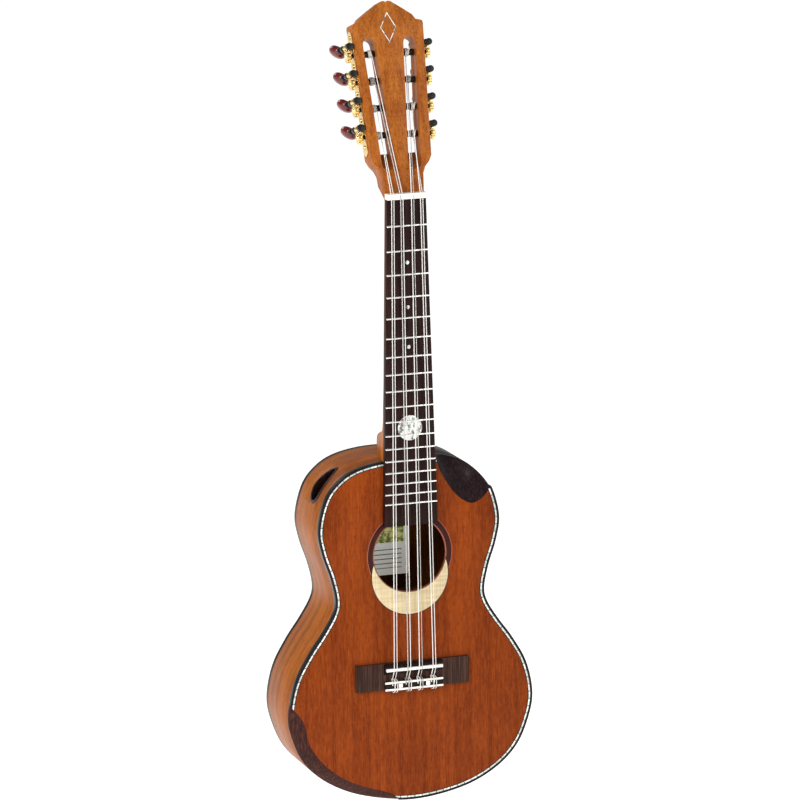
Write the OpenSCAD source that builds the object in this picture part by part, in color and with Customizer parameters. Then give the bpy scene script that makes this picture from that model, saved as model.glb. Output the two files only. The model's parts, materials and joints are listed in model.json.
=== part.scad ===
// Eight-string ukulele with a slotted headstock, sound port, armrest and cutaway bevel.
// Frame: x runs across the strings (treble side positive), y runs from the front towards the back,
// z runs up the neck. z = 0 is the nut's fretboard edge and y = 0 is the face of the soundboard.

/* [Strings and neck] */
// Vibrating length of the strings, nut to saddle
scale_length = 432; // [400:1:450]
// Number of frets on the fretboard
fret_count = 18; // [16:1:18]
// Width of the fretboard at the nut
nut_width = 37; // [36:0.5:40]
// Width of the fretboard where it meets the body
join_width = 48; // [46:0.5:50]
// Thickness of the fretboard
board_thick = 6; // [5:0.5:7]
// Depth of the neck behind the fretboard at the nut
neck_depth = 15; // [13:0.5:17]

/* [Body] */
// Length of the body from the neck joint to the tail
body_length = 319.8; // [314:0.5:325]
// Width across the upper bout
upper_bout = 173.4; // [170:0.2:177]
// Width across the waist
waist = 142.8; // [138:0.2:146]
// Width across the lower bout
lower_bout = 234.4; // [230:0.2:238]
// Depth of the body, front to back
body_depth = 72; // [68:1:78]
// Thickness of the soundboard and of the back
plate_thick = 2.4; // [2:0.1:3]
// Thickness of the bent sides and width of the edge binding
side_thick = 2.2; // [2:0.1:2.6]

/* [Soundhole and port] */
// Radius of the soundhole
hole_radius = 34.4; // [32:0.2:36]
// Width of the dark ring round the soundhole
ring_width = 6.4; // [5:0.2:7]
// Half length of the sound port in the bass side
port_half_length = 17.5; // [16:0.5:20]
// Half height of the sound port
port_half_height = 9; // [7:0.5:11]

/* [Headstock] */
// Angle at which the headstock leans back
head_tilt = 15.75; // [12:0.25:16]
// Thickness of the headstock
head_thick = 19; // [18:0.5:20]
// Width of each string slot
slot_width = 12.4; // [12:0.2:13]

/* [Tuners] */
// Distance from one string roller to the next
tuner_pitch = 24.6; // [24:0.2:25]
// Radius of a string roller
roller_radius = 3; // [2.8:0.1:3.2]

/* [Bridge] */
// Width of the bridge from wing to wing
bridge_width = 108.4; // [104:0.4:112]
// Width of the bridge's raised centre
block_width = 55.6; // [54:0.4:58]

/* [Hidden] */
gap = 0.02;
running_fit = 0.05;
$fn = 48;

// ---- Frets and the fretboard
function fret_z(n) = -scale_length * (1 - pow(2, -n / 12));
join_fret = 14;
join_z = fret_z(join_fret);
board_end_z = fret_z(20) - 4;
function board_half(z) = nut_width / 2 + (join_width - nut_width) / 2 * z / join_z;
fret_crown = 0.9;
fret_width = 1.8;
nut_length = 5;
nut_top = board_thick + 2.2;
head_face_y = -3.6;

// ---- Smooth curves through chosen points
function blend(a, b, c, d, t) =
    0.5 * (2 * b + (c - a) * t + (2 * a - 5 * b + 4 * c - d) * t * t + (3 * b - a - 3 * c + d) * t * t * t);
function loop_at(p, u) = let (n = len(p), i = floor(u), t = u - i)
    blend(p[(i - 1 + n) % n], p[i % n], p[(i + 1) % n], p[(i + 2) % n], t);
function path_at(p, u) = let (n = len(p), i = min(floor(u), n - 2), t = u - i)
    blend(p[max(i - 1, 0)], p[i], p[i + 1], p[min(i + 2, n - 1)], t);
function mirrored(p) = [for (i = [len(p) - 2:-1:1]) [-p[i].x, p[i].y]];
function unit(v) = v / norm(v);
function inset(p, d) = [
    for (i = [0:len(p) - 1])
        let (n = len(p), run = unit(p[(i + 1) % n] - p[(i - 1 + n) % n]))
            p[i] + d * [run.y, -run.x]
];

// ---- Body outline: x as a share of the nearest bout, z as a share of the body length
upper = upper_bout / 2;
middle = waist / 2;
lower = lower_bout / 2;
half_outline = [
    for (q = [
        [0, 0],
        [0.3 * upper, 0.003],
        [0.577 * upper, 0.019],
        [0.773 * upper, 0.050],
        [0.918 * upper, 0.100],
        [upper, 0.186],
        [0.96 * upper, 0.258],
        [1.06 * middle, 0.329],
        [middle, 0.394],
        [1.04 * middle, 0.436],
        [0.721 * lower, 0.489],
        [0.836 * lower, 0.548],
        [0.949 * lower, 0.624],
        [lower, 0.714],
        [0.966 * lower, 0.789],
        [0.862 * lower, 0.871],
        [0.672 * lower, 0.935],
        [0.392 * lower, 0.980],
        [0, 1]
    ]) [q.x, join_z - q.y * body_length]
];
outline_points = concat(half_outline, mirrored(half_outline));
outline_steps = 7;
body_outline = [for (k = [0:len(outline_points) * outline_steps - 1]) loop_at(outline_points, k / outline_steps)];

// ---- Edge binding, purfling and the two plates
binding_height = 5;
pearl_width = 1.5;
line_width = 0.8;
purfling_depth = 1.2;
lining_width = 5;
lining_height = 11;
back_y = body_depth - plate_thick;

// ---- Soundhole, dark ring and crescent
hole_z = join_z - 88.8;
crescent_radius = 37.2;
crescent_drop = 19.2;
inlay_depth = 1.2;

// ---- Armrest on the lower bass bout and bevel on the upper treble bout
armrest_fall = 10;
armrest_start = 18.3;
armrest_end = 23.29;
armrest_inner = [
    [-14.5, -317.4], [-24, -311], [-46, -303.5], [-67, -293.5],
    [-86, -277.5], [-99, -258], [-103.4, -238], [-113.6, -223.6]
];
bevel_fall = 20;
bevel_start = 1.06;
bevel_end = 4;
bevel_inner = [[27, -2.6], [30, -13], [37.5, -26.5], [47, -38.5], [59, -46], [68.5, -43.5], [74.4, -38], [77.6, -33.6]];
insert_steps = 24;
insert_skirt = 1.6;
armrest_falls = [
    for (k = [0:insert_steps]) armrest_fall * pow(sin(180 * (k + 1) / (insert_steps + 2)), 0.6)
];
bevel_falls = [for (k = [0:insert_steps]) bevel_fall * pow(1 - pow(k / (insert_steps + 1), 4), 0.5)];

// ---- Sound port
port_at = len(outline_points) - 3.44;
port_y = 30;
port_rim = 2.6;

// ---- Headstock outline, measured along the headstock from the nut
head_half = [
    [18.6, 14], [19.2, 22], [21.6, 27.6], [25.6, 32], [28.46, 37.5], [33.3, 157.5], [32.6, 159.6], [30.6, 160.4],
    [26.6, 161.2], [23.6, 165.6], [15, 171.6], [8.6, 175.8], [4.4, 178.6], [2, 179], [0, 177.8]
];
head_side_slope = (33.3 - 28.3) / (157.5 - 33.5);
side_turn = atan(head_side_slope);
function head_edge(s) = 28.3 + head_side_slope * (s - 33.5);
slot_low = 49;
slot_ramp_top = 26;
slot_ramp_back = 43;
slot_high = 140;
slot_lean = 0.061;
function slot_centre(s) = 12.2 + slot_lean * (s - 26);

// ---- Tuners: four rollers a side, each turned by a worm beside its gear
first_roller = 58.4;
roller_depth = 10;
function roller_s(k) = first_roller + (k % 4) * tuner_pitch;
function tuner_side(k) = k < 4 ? -1 : 1;
plate_sheet = 1.2;
gear_teeth = 14;
gear_mid = 5;
gear_face = 3.6;
gear_pitch_radius = 5.7;
gear_tip = 5.95;
gear_root = 4.85;
worm_middle_radius = 2.5;
worm_throw = 0.65;
worm_offset = gear_pitch_radius + worm_middle_radius;
worm_pitch = 2 * PI * gear_pitch_radius / gear_teeth;
worm_turns = 3.5;
worm_length = worm_turns * worm_pitch;
worm_slices = 28;
worm_sides = 13;
shaft_radius = 1.5;
journal_radius = 2;
bearing_radius = 3.1;
bearing_length = 4.4;
front_bearing = -worm_length / 2 - 0.4 - bearing_length;
rear_bearing = worm_length / 2 + 2.2;
button_start = 17.5;
button_length = 19;
button_radius = 8.2;
button_thick = 9.6;
button_turn = 40;
screw_drop = 9.4;
bearing_wall = 1.2;

// ---- Bridge, saddle and strings
saddle_z = -scale_length - 1;
bridge_top_z = saddle_z + 5.2;
bridge_depth = 24.8;
wing_height = 3.6;
saddle_thick = 2.4;
saddle_half = 26.9;
saddle_top = 10.4;
tie_hole_y = -4.4;
course_nut = [13.6, 5.1];
course_saddle = [18.7, 5.6];
pair_nut = 2.2;
pair_saddle = 2.7;
string_radii = [0.42, 0.36, 0.5, 0.4, 0.46, 0.36, 0.44, 0.36];
function string_side(i) = i < 4 ? -1 : 1;
function string_rank(i) = i < 4 ? i : 7 - i;
function string_nut_x(i) = let (r = string_rank(i))
    string_side(i) * (course_nut[floor(r / 2)] + (r % 2 == 0 ? 0.5 : -0.5) * pair_nut);
function string_saddle_x(i) = let (r = string_rank(i))
    string_side(i) * (course_saddle[floor(r / 2)] + (r % 2 == 0 ? 0.5 : -0.5) * pair_saddle);
string_end_offset = [0.9, 0.9, -1.4, -2.6];
hole_room = 0.45;
groove_room = 0.12;

tuner_ids = [1:8];

// ---- Helpers
// A flat shape drawn as x and z, given thickness from y0 towards the back
module slab(y0, thick) {
    translate([0, y0 + thick, 0]) rotate([90, 0, 0]) linear_extrude(thick) children();
}

// A shape drawn as y and z, given width across x
module across(width) {
    translate([-width / 2, 0, 0]) rotate([90, 0, 90]) linear_extrude(width) children();
}

module body_shape(d) {
    polygon(inset(body_outline, d));
}

module ring_shape(outer, inner) {
    difference() {
        body_shape(outer);
        body_shape(inner);
    }
}

module head_frame() {
    translate([0, head_face_y, 0]) rotate([-head_tilt, 0, 0]) children();
}

// The local frame of tuner k: x across, y behind the headstock's face, z along its side
module at_tuner(k) {
    side = tuner_side(k);
    s = roller_s(k);
    head_frame() translate([side * head_edge(s), roller_depth, s]) rotate([0, side * side_turn, 0]) children();
}

module rod(a, b, r) {
    run = b - a;
    length = norm(run);
    translate(a) rotate([0, acos(run.z / length), atan2(run.y, run.x)]) cylinder(h = length, r = r, $fn = 20);
}

// ---- Inserts along the body's edge
function insert_inner(p, k) = let (q = path_at(p, (len(p) - 1) * k / insert_steps)) [q.x, join_z + q.y];
function insert_outer(from, to, k) = loop_at(outline_points, from + (to - from) * k / insert_steps);

// A solid through a row of rings that all have the same number of points
module loft(rings) {
    n = len(rings[0]);
    last = (len(rings) - 1) * n;
    sides = [
        for (k = [0:len(rings) - 2], j = [0:n - 1])
            let (a = k * n + j, b = k * n + (j + 1) % n)
                each [[a, b, b + n], [a, b + n, a + n]]
    ];
    start_cap = [for (j = [1:n - 2]) [0, j + 1, j]];
    end_cap = [for (j = [1:n - 2]) [last, last + j, last + j + 1]];
    polyhedron([for (r = rings) each r], concat(sides, start_cap, end_cap));
}

// The insert itself: a sloping face from the inner edge down to the side
module insert_solid(inner, from, to, falls, hollow) {
    loft([
        for (k = [0:insert_steps])
            let (a = insert_inner(inner, k), b = insert_outer(from, to, k), f = falls[k], base = f + insert_skirt)
                [
                    [a.x, 0, a.y],
                    for (t = [0.35, 0.7]) [
                        a.x + t * (b.x - a.x),
                        f * t + hollow * f * sin(180 * t),
                        a.y + t * (b.y - a.y)
                    ],
                    [b.x, f, b.y], [b.x, base, b.y], [a.x, base, a.y]
                ]
    ]);
}

// The space the insert takes from its neighbours, carried past the body's edge
module insert_cut(inner, from, to, falls) {
    loft([
        for (k = [0:insert_steps])
            let (
                a = insert_inner(inner, k),
                b = insert_outer(from, to, k),
                beyond = b + 3 * unit(b - a),
                base = falls[k] + insert_skirt
            )
                [
                    [a.x, -1, a.y], [beyond.x, -1, beyond.y], [beyond.x, base, beyond.y],
                    [b.x, base, b.y], [a.x, base, a.y]
                ]
    ]);
}

module armrest_cut() {
    insert_cut(armrest_inner, armrest_start, armrest_end, armrest_falls);
}

module bevel_cut() {
    insert_cut(bevel_inner, bevel_start, bevel_end, bevel_falls);
}

module edge_cuts() {
    armrest_cut();
    bevel_cut();
}

// ---- Body
module top_plate() {
    color("#9a4a1c") difference() {
        slab(0, plate_thick) body_shape(side_thick);
        slab(-1, 1 + purfling_depth)
            ring_shape(side_thick - 1, side_thick + pearl_width + line_width);
        translate([0, -1, hole_z]) rotate([-90, 0, 0]) cylinder(h = plate_thick + 2, r = hole_radius);
        translate([0, -1, hole_z]) rotate([-90, 0, 0]) cylinder(h = 1 + inlay_depth, r = hole_radius + ring_width);
        translate([0, -1, hole_z - crescent_drop]) rotate([-90, 0, 0])
            cylinder(h = 1 + inlay_depth, r = crescent_radius);
        edge_cuts();
    }
}

module back_plate() {
    color("#8a4a1e") slab(back_y, plate_thick) body_shape(side_thick);
}

module port_frame() {
    here = loop_at(outline_points, port_at);
    run = unit(loop_at(outline_points, port_at + 0.3) - loop_at(outline_points, port_at - 0.3));
    translate([here.x, port_y, here.y]) rotate([0, -atan2(run.y, run.x), 0]) children();
}

// The port's leaf shape: one end pointed, the other round
function leaf(grow) = [
    for (a = [0:10:350])
        let (half_length = port_half_length + grow, half_height = port_half_height + grow)
            [half_length * cos(a), half_height * sin(a) * (1 - 0.28 * cos(a))]
];

module port_hole(grow) {
    port_frame() translate([0, 0, -20]) linear_extrude(40) polygon(leaf(grow));
}

module side_rim() {
    color("#b06a2c") difference() {
        slab(binding_height, body_depth - 2 * binding_height) ring_shape(0, side_thick);
        port_hole(port_rim);
        edge_cuts();
    }
}

module linings() {
    color("#c99a62") difference() {
        union() {
            slab(plate_thick, lining_height) ring_shape(side_thick, side_thick + lining_width);
            slab(back_y - lining_height, lining_height) ring_shape(side_thick, side_thick + lining_width);
        }
        edge_cuts();
        port_hole(port_rim);
        block_spaces();
    }
}

block_half = 30;
neck_block_length = 22;
tail_block_length = 14;

module block_spaces() {
    slab(0, body_depth) {
        translate([-block_half, join_z - neck_block_length]) square([2 * block_half, neck_block_length]);
        translate([-block_half, join_z - body_length]) square([2 * block_half, tail_block_length]);
    }
}

module end_blocks() {
    color("#c08a55") difference() {
        intersection() {
            slab(plate_thick, body_depth - 2 * plate_thick) body_shape(side_thick);
            block_spaces();
        }
        edge_cuts();
    }
}

brace_inset = side_thick + lining_width + 1;
top_bar_z = [join_z - 40, join_z - 132];
back_bar_z = [join_z - 55, join_z - 140, join_z - 225];
fan_angles = [-14, 0, 14];

module top_braces() {
    color("#d8b98a") {
        difference() {
            intersection() {
                slab(plate_thick, 8) body_shape(brace_inset);
                for (z = top_bar_z) translate([-lower, 0, z - 3]) cube([2 * lower, body_depth, 6]);
            }
            bevel_cut();
        }
        difference() {
            intersection() {
                slab(plate_thick, 5) body_shape(brace_inset + 6);
                for (a = fan_angles)
                    translate([0, 0, top_bar_z[1] + 20]) rotate([0, a, 0])
                        translate([-2.5, 0, -160]) cube([5, body_depth, 136]);
            }
            translate([-46, 0, saddle_z - 22]) cube([92, body_depth, 28]);
            armrest_cut();
        }
        slab(plate_thick, 2) translate([-45, saddle_z - 21]) square([90, 26]);
    }
}

module back_braces() {
    color("#d8b98a") {
        intersection() {
            slab(back_y - 9, 9) body_shape(brace_inset);
            for (z = back_bar_z) translate([-lower, 0, z - 3.5]) cube([2 * lower, body_depth, 7]);
        }
    }
}

module front_disc(r, z, depth) {
    translate([0, 0, z]) rotate([-90, 0, 0]) cylinder(h = depth, r = r);
}

module soundhole_ring() {
    color("#3c1410") difference() {
        front_disc(hole_radius + ring_width, hole_z, inlay_depth);
        translate([0, -1, 0]) front_disc(hole_radius, hole_z, inlay_depth + 2);
        translate([0, -1, 0]) front_disc(crescent_radius, hole_z - crescent_drop, inlay_depth + 2);
    }
}

module crescent_inlay() {
    color("#e2d3ac") difference() {
        front_disc(crescent_radius, hole_z - crescent_drop, inlay_depth);
        translate([0, -1, 0]) front_disc(hole_radius, hole_z, inlay_depth + 2);
    }
}

module bindings() {
    color("#15100e") {
        difference() {
            union() {
                slab(0, binding_height) ring_shape(0, side_thick);
                slab(0, purfling_depth)
                    ring_shape(side_thick + pearl_width, side_thick + pearl_width + line_width);
            }
            edge_cuts();
        }
        slab(body_depth - binding_height, binding_height) ring_shape(0, side_thick);
    }
}

module pearl_purfling() {
    color("#dfe6dc") difference() {
        slab(0, purfling_depth) ring_shape(side_thick, side_thick + pearl_width);
        edge_cuts();
    }
}

module armrest() {
    color("#2a1612") insert_solid(armrest_inner, armrest_start, armrest_end, armrest_falls, -0.1);
}

module cutaway_bevel() {
    color("#1b1214") insert_solid(bevel_inner, bevel_start, bevel_end, bevel_falls, 0.12);
}

module sound_port_ring() {
    color("#20120f") difference() {
        intersection() {
            slab(port_y - 20, 40) ring_shape(-0.5, side_thick + 0.6);
            port_hole(port_rim);
        }
        port_hole(0);
    }
}

module paper_label() {
    color("#e8e6da") translate([-34, back_y - 0.3, hole_z - 35]) cube([56, 0.3, 61]);
}

// ---- Neck
heel_start = -195;
heel_depth = 70;
heel_flat = 12;
heel_cut_y = 66;
heel_cap_thick = 2;
neck_growth = 2.5;
neck_narrowing = 0.1;
heel_narrowing = 0.28;
function heel_share(z) = z > heel_start ? 0 : min(1, (heel_start - z) / (heel_start - join_z - heel_flat));
function neck_back(z) = z > heel_start
    ? neck_depth + neck_growth * z / heel_start
    : neck_depth + neck_growth + (heel_depth - neck_depth - neck_growth) * pow(heel_share(z), 2.2);
function neck_section(z) = let (
    w = board_half(z),
    d = neck_back(z),
    full = z > heel_start ? 1 : 0.8,
    narrowing = neck_narrowing + heel_narrowing * heel_share(z)
) [for (a = [0:12:180]) [w * cos(a) * (1 - narrowing * sin(a)), d * pow(sin(a), full), z]];
neck_stations = concat([0, -60, -120, -170, heel_start], [for (k = [1:10]) heel_start - 4.6 * k]);

module neck_loft() {
    loft([for (z = neck_stations) neck_section(z)]);
}

module body_space() {
    slab(-1, body_depth + 2) body_shape(0);
}

function capsule(a, b, r) = let (turn = atan2(b.y - a.y, b.x - a.x)) concat(
    [for (t = [90:15:270]) a + r * [cos(t + turn), sin(t + turn)]],
    [for (t = [-90:15:90]) b + r * [cos(t + turn), sin(t + turn)]]
);

module string_slot(side) {
    function middle(s) = [side * slot_centre(s), s];
    ramp_start = middle(slot_ramp_top + slot_width / 2);
    head_frame() {
        slab(-10, head_thick + 20) polygon(capsule(middle(slot_low), middle(slot_high), slot_width / 2));
        // Ramp where the strings run down into the slot
        intersection() {
            slab(-10, head_thick + 10) polygon(capsule(ramp_start, middle(slot_low), slot_width / 2));
            across(80) polygon([
                [-10, slot_ramp_top], [0, slot_ramp_top], [head_thick, slot_ramp_back],
                [head_thick, slot_low + slot_width], [-10, slot_low + slot_width]
            ]);
        }
    }
}

module headstock() {
    head_frame() slab(0, head_thick) polygon(concat(head_half, mirrored(concat([[0, 0]], head_half))));
}

module neck() {
    color("#b5702f") difference() {
        union() {
            difference() {
                neck_loft();
                body_space();
                translate([-30, heel_cut_y, join_z - 5]) cube([60, 20, 60]);
            }
            headstock();
            hull() {
                for (z = [-1, 0]) translate([0, 0, z]) linear_extrude(0.5)
                    polygon([for (p = neck_section(0)) [p.x, p.y]]);
                head_frame() slab(0, head_thick) translate([-18.6, 14]) square([37.2, 1]);
            }
        }
        translate([-30, -20, -5]) cube([60, 20, 5 + nut_length]);
        for (side = [-1, 1]) string_slot(side);
        for (k = [0:7]) at_tuner(k) {
            rotate([0, -tuner_side(k) * 90, 0]) cylinder(h = roller_reach + 0.5, r = roller_radius + running_fit);
        }
        plate_screw_shanks();
    }
}

module heel_cap() {
    color("#20120f") intersection() {
        difference() {
            neck_loft();
            body_space();
        }
        translate([-30, heel_cut_y, join_z - 5]) cube([60, heel_cap_thick, 60]);
    }
}

// ---- Fretboard
function board_corners(top, bottom, grow) = [
    [-board_half(top) - grow, top], [board_half(top) + grow, top],
    [board_half(bottom) + grow, bottom], [-board_half(bottom) - grow, bottom]
];

fret_tang = 0.6;
fret_tang_depth = 2;

module fretboard() {
    color("#1d120f") difference() {
        slab(-board_thick, board_thick) polygon(board_corners(0, board_end_z, 0));
        for (n = [1:fret_count]) translate([-40, -board_thick - 1, fret_z(n) - fret_tang / 2])
            cube([80, 1 + fret_tang_depth, fret_tang]);
        for (m = [0:len(dot_frets) - 1]) translate([0, -board_thick - 1, 0])
            front_disc(dot_radius, dot_z(dot_frets[m]), 1 + inlay_depth);
        translate([0, -board_thick - 1, 0]) front_disc(octave_radius, dot_z(12), 1 + inlay_depth);
    }
}

module frets() {
    color("#d9d9d6") for (n = [1:fret_count]) {
        z = fret_z(n);
        half = board_half(z) - 0.2;
        translate([-half, -board_thick, z - fret_tang / 2]) cube([2 * half, fret_tang_depth, fret_tang]);
        intersection() {
            translate([-half, -board_thick, z]) rotate([0, 90, 0]) cylinder(h = 2 * half, r = fret_crown, $fn = 20);
            translate([-40, -board_thick - 2, z - 2]) cube([80, 2, 4]);
        }
    }
}

dot_frets = [3, 5, 7];
dot_radius = 1.7;
octave_radius = 11.5;
function dot_z(n) = (fret_z(n) + fret_z(n - 1)) / 2;
lozenge_middle = 155;
lozenge_line = 0.8;
module lozenge(half_width, half_height) {
    translate([0, lozenge_middle]) polygon([[0, half_height], [half_width, 0], [0, -half_height], [-half_width, 0]]);
}

module pearl_inlays() {
    color("#cfd8d2") {
        translate([0, -board_thick, 0]) difference() {
            union() {
                for (n = dot_frets) front_disc(dot_radius, dot_z(n), inlay_depth);
                front_disc(octave_radius, dot_z(12), inlay_depth);
            }
            for (n = [11, 12]) translate([-40, -1, fret_z(n) - fret_tang / 2]) cube([80, 3, fret_tang]);
        }
        head_frame() slab(-0.4, 0.4) difference() {
            lozenge(7.5, 14);
            lozenge(7.5 - lozenge_line, 14 - 2 * lozenge_line);
        }
    }
}

module nut() {
    color("#efece2") difference() {
        translate([-nut_width / 2, -nut_top, 0]) cube([nut_width, nut_top, nut_length]);
        for (i = [0:7]) string_tube(string_points(i), string_radii[i] + groove_room);
    }
}

// ---- Bridge
tie_z = saddle_z - 11.4;

module bridge() {
    back = bridge_top_z - bridge_depth;
    color("#22130f") difference() {
        union() {
            slab(-wing_height, wing_height) translate([-bridge_width / 2, back]) square([bridge_width, bridge_depth]);
            across(block_width) polygon([
                [0, bridge_top_z], [-5.2, bridge_top_z], [-7.8, saddle_z + 3], [-7.8, saddle_z - 3],
                [-wing_height, saddle_z - 5], [-wing_height, tie_z], [-8, tie_z], [-8, back + 0.8],
                [-7.2, back], [0, back]
            ]);
        }
        translate([-saddle_half, -30, saddle_z - saddle_thick / 2]) cube([2 * saddle_half, 28, saddle_thick]);
        for (i = [0:7]) string_path(i, string_radii[i] + hole_room);
        bridge_trim_shapes();
    }
}

module saddle() {
    color("#efece2") difference() {
        translate([-saddle_half, -saddle_top, saddle_z - saddle_thick / 2])
            cube([2 * saddle_half, saddle_top - 2, saddle_thick]);
        for (i = [0:7]) string_tube(string_points(i), string_radii[i] + groove_room);
    }
}

module bridge_trim_shapes() {
    back = bridge_top_z - bridge_depth;
    for (z = [tie_z - 1.8, back]) translate([-block_width / 2, -8.2, z]) cube([block_width, 1.2, 1.8]);
    for (x = [-13.2, 13.2]) translate([x - 1.9, -8.2, (tie_z + back) / 2 - 1.9]) cube([3.8, 1, 3.8]);
}

module bridge_trim() {
    color("#ece7da") difference() {
        bridge_trim_shapes();
        for (i = [0:7]) string_path(i, string_radii[i] + hole_room);
    }
}

// ---- Strings, from the tie block over the saddle and nut to the rollers
roller_reach = 24;

function head_point(x, depth, s) = [
    x,
    head_face_y + s * sin(head_tilt) + depth * cos(head_tilt),
    s * cos(head_tilt) - depth * sin(head_tilt)
];

function string_points(i) = let (
    r = string_radii[i],
    rank = string_rank(i),
    s = first_roller + rank * tuner_pitch,
    top = roller_depth - roller_radius - r - 0.3
) [
    [string_saddle_x(i), tie_hole_y, bridge_top_z - bridge_depth - 2],
    [string_saddle_x(i), tie_hole_y, tie_z + 1],
    [string_saddle_x(i), -saddle_top + 0.2 - r, saddle_z],
    [string_nut_x(i), -nut_top + 0.5 - r, nut_length / 2],
    head_point(string_side(i) * (slot_centre(s) + string_end_offset[rank]), top, s)
];

module string_path(i, r) {
    p = string_points(i);
    for (j = [0:len(p) - 2]) rod(p[j], p[j + 1], r);
}

// A ring of points round the string at point j, square to the way it runs there
tube_sides = 8;
function tube_ring(p, j, r) = let (
    from = max(j, 1),
    to = min(j + 1, len(p) - 1),
    run = unit(unit(p[from] - p[from - 1]) + unit(p[to] - p[to - 1])),
    u = unit(cross([1, 0, 0], run)),
    v = cross(run, u)
) [
    for (a = [tube_sides - 1:-1:0])
        p[j] + r * (cos(a * 360 / tube_sides) * u + sin(a * 360 / tube_sides) * v)
];

module string_tube(p, r) {
    loft([for (j = [0:len(p) - 1]) tube_ring(p, j, r)]);
}

module strings() {
    color("#e9e7e0") for (i = [0:7]) string_tube(string_points(i), string_radii[i]);
}

// ---- Tuners
module plate_outline() {
    end_low = -11.5;
    end_high = 3 * tuner_pitch + 16;
    polygon(capsule([end_low, 0], [end_high, 0], 6));
}

// One screw below each tuner and one at the plate's top end
screws_per_plate = 5;
function screw_z(j) = j == screws_per_plate - 1 ? 3 * tuner_pitch + 16.5 : j * tuner_pitch - screw_drop;

module plate_screw_shanks() {
    for (k = [0, 4], j = [0:screws_per_plate - 1]) at_tuner(k)
        translate([0, 0, screw_z(j)]) rotate([0, -tuner_side(k) * 90, 0])
            translate([0, 0, -plate_sheet]) cylinder(h = 9, r = 0.9, $fn = 20);
}

module tuner_plates() {
    color("#d8b65a") difference() {
        for (side = [0, 4]) at_tuner(side)
            translate([tuner_side(side) > 0 ? 0 : -plate_sheet, 0, 0])
                rotate([90, 0, 90]) rotate(90) linear_extrude(plate_sheet) plate_outline();
        plate_screw_shanks();
        for (k = [0:7]) at_tuner(k) rotate([0, 90, 0])
            translate([0, 0, -8]) cylinder(h = 16, r = journal_radius + running_fit);
    }
}

module plate_screws() {
    color("#d8b65a") {
        plate_screw_shanks();
        for (k = [0, 4], j = [0:screws_per_plate - 1]) at_tuner(k)
            translate([tuner_side(k) * plate_sheet, 0, screw_z(j)]) rotate([0, tuner_side(k) * 90, 0])
                cylinder(h = 1.1, r1 = 1.9, r2 = 1.2);
    }
}

module worm_bearings() {
    color("#191918") for (k = [0:7]) at_tuner(k) {
        side = tuner_side(k);
        for (y = [front_bearing, rear_bearing]) difference() {
            union() {
                translate([side * gear_mid, y, worm_offset]) rotate([-90, 0, 0])
                    cylinder(h = bearing_length, r = bearing_radius);
                translate([side > 0 ? plate_sheet : -gear_mid, y, worm_offset - 2.4])
                    cube([gear_mid - plate_sheet, bearing_length, 4.8]);
            }
            // The front bearing is closed at its outer end
            translate([side * gear_mid, y < 0 ? y + bearing_wall : y - 1, worm_offset]) rotate([-90, 0, 0])
                cylinder(h = bearing_length + 2, r = shaft_radius + running_fit);
        }
    }
}

module roller(k) {
    side = tuner_side(k);
    color("#161514") at_tuner(k) rotate([0, side * 90, 0]) {
        translate([0, 0, -roller_reach]) cylinder(h = roller_reach - gap, r = roller_radius);
        translate([0, 0, -0.1]) cylinder(h = gear_mid + gear_face / 2 + 0.1, r = journal_radius);
    }
}

module gear_shape() {
    polygon([
        for (i = [0:gear_teeth - 1], q = [
            [gear_root, -0.6], [5.6, -0.36], [gear_tip, -0.15],
            [gear_tip, 0.15], [5.6, 0.36], [gear_root, 0.6]
        ])
            let (a = 90 + i * 360 / gear_teeth) [
                q.x * cos(a) - q.y * sin(a),
                q.x * sin(a) + q.y * cos(a)
            ]
    ]);
}

module gear(k) {
    side = tuner_side(k);
    color("#d8b65a") at_tuner(k) {
        difference() {
            translate([side * gear_mid - gear_face / 2, 0, 0]) rotate([90, 0, 90])
                linear_extrude(gear_face) gear_shape();
            rotate([0, 90, 0]) translate([0, 0, -10]) cylinder(h = 20, r = journal_radius);
        }
        translate([side * (gear_mid + gear_face / 2), 0, 0]) rotate([0, side * 90, 0])
            cylinder(h = 1.3, r1 = 2.6, r2 = 1.8);
    }
}

module worm(k) {
    side = tuner_side(k);
    color("#b99a4c") at_tuner(k) translate([side * gear_mid, 0, worm_offset]) rotate([-90, 0, 0]) {
        translate([0, 0, -worm_length / 2]) rotate(180 * worm_turns)
            linear_extrude(worm_length, twist = 360 * worm_turns, slices = worm_slices, segments = worm_sides)
                translate([0, -worm_throw]) circle(worm_middle_radius, $fn = worm_sides);
        shaft_end = front_bearing + bearing_wall + 0.2;
        translate([0, 0, shaft_end]) cylinder(h = button_start + 6 - shaft_end, r = shaft_radius);
    }
}

// The button's profile of revolution about its shaft
function button_profile() = [
    [0, 0], [2.4, 0], [2.6, 1.2],
    for (a = [-60:12:84]) [button_radius * pow(cos(a), 0.8), 10.4 + 8.6 * sin(a)],
    [0, button_length]
];

module button(k) {
    side = tuner_side(k);
    color("#5a1a16") at_tuner(k)
        translate([side * gear_mid, button_start, worm_offset]) rotate([-90, 0, 0]) rotate(button_turn) difference() {
            intersection() {
                rotate_extrude() polygon(button_profile());
                translate([-20, -button_thick / 2, -1]) cube([40, button_thick, button_length + 2]);
            }
            translate([0, 0, -1]) cylinder(h = 7, r = shaft_radius);
        }
}

top_plate();
back_plate();
side_rim();
linings();
end_blocks();
top_braces();
back_braces();
soundhole_ring();
crescent_inlay();
bindings();
pearl_purfling();
armrest();
cutaway_bevel();
sound_port_ring();
paper_label();
neck();
heel_cap();
fretboard();
frets();
pearl_inlays();
nut();
bridge();
saddle();
bridge_trim();
strings();
tuner_plates();
plate_screws();
worm_bearings();
for (k = tuner_ids) {
    roller(k - 1);
    gear(k - 1);
    worm(k - 1);
    button(k - 1);
}
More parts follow.
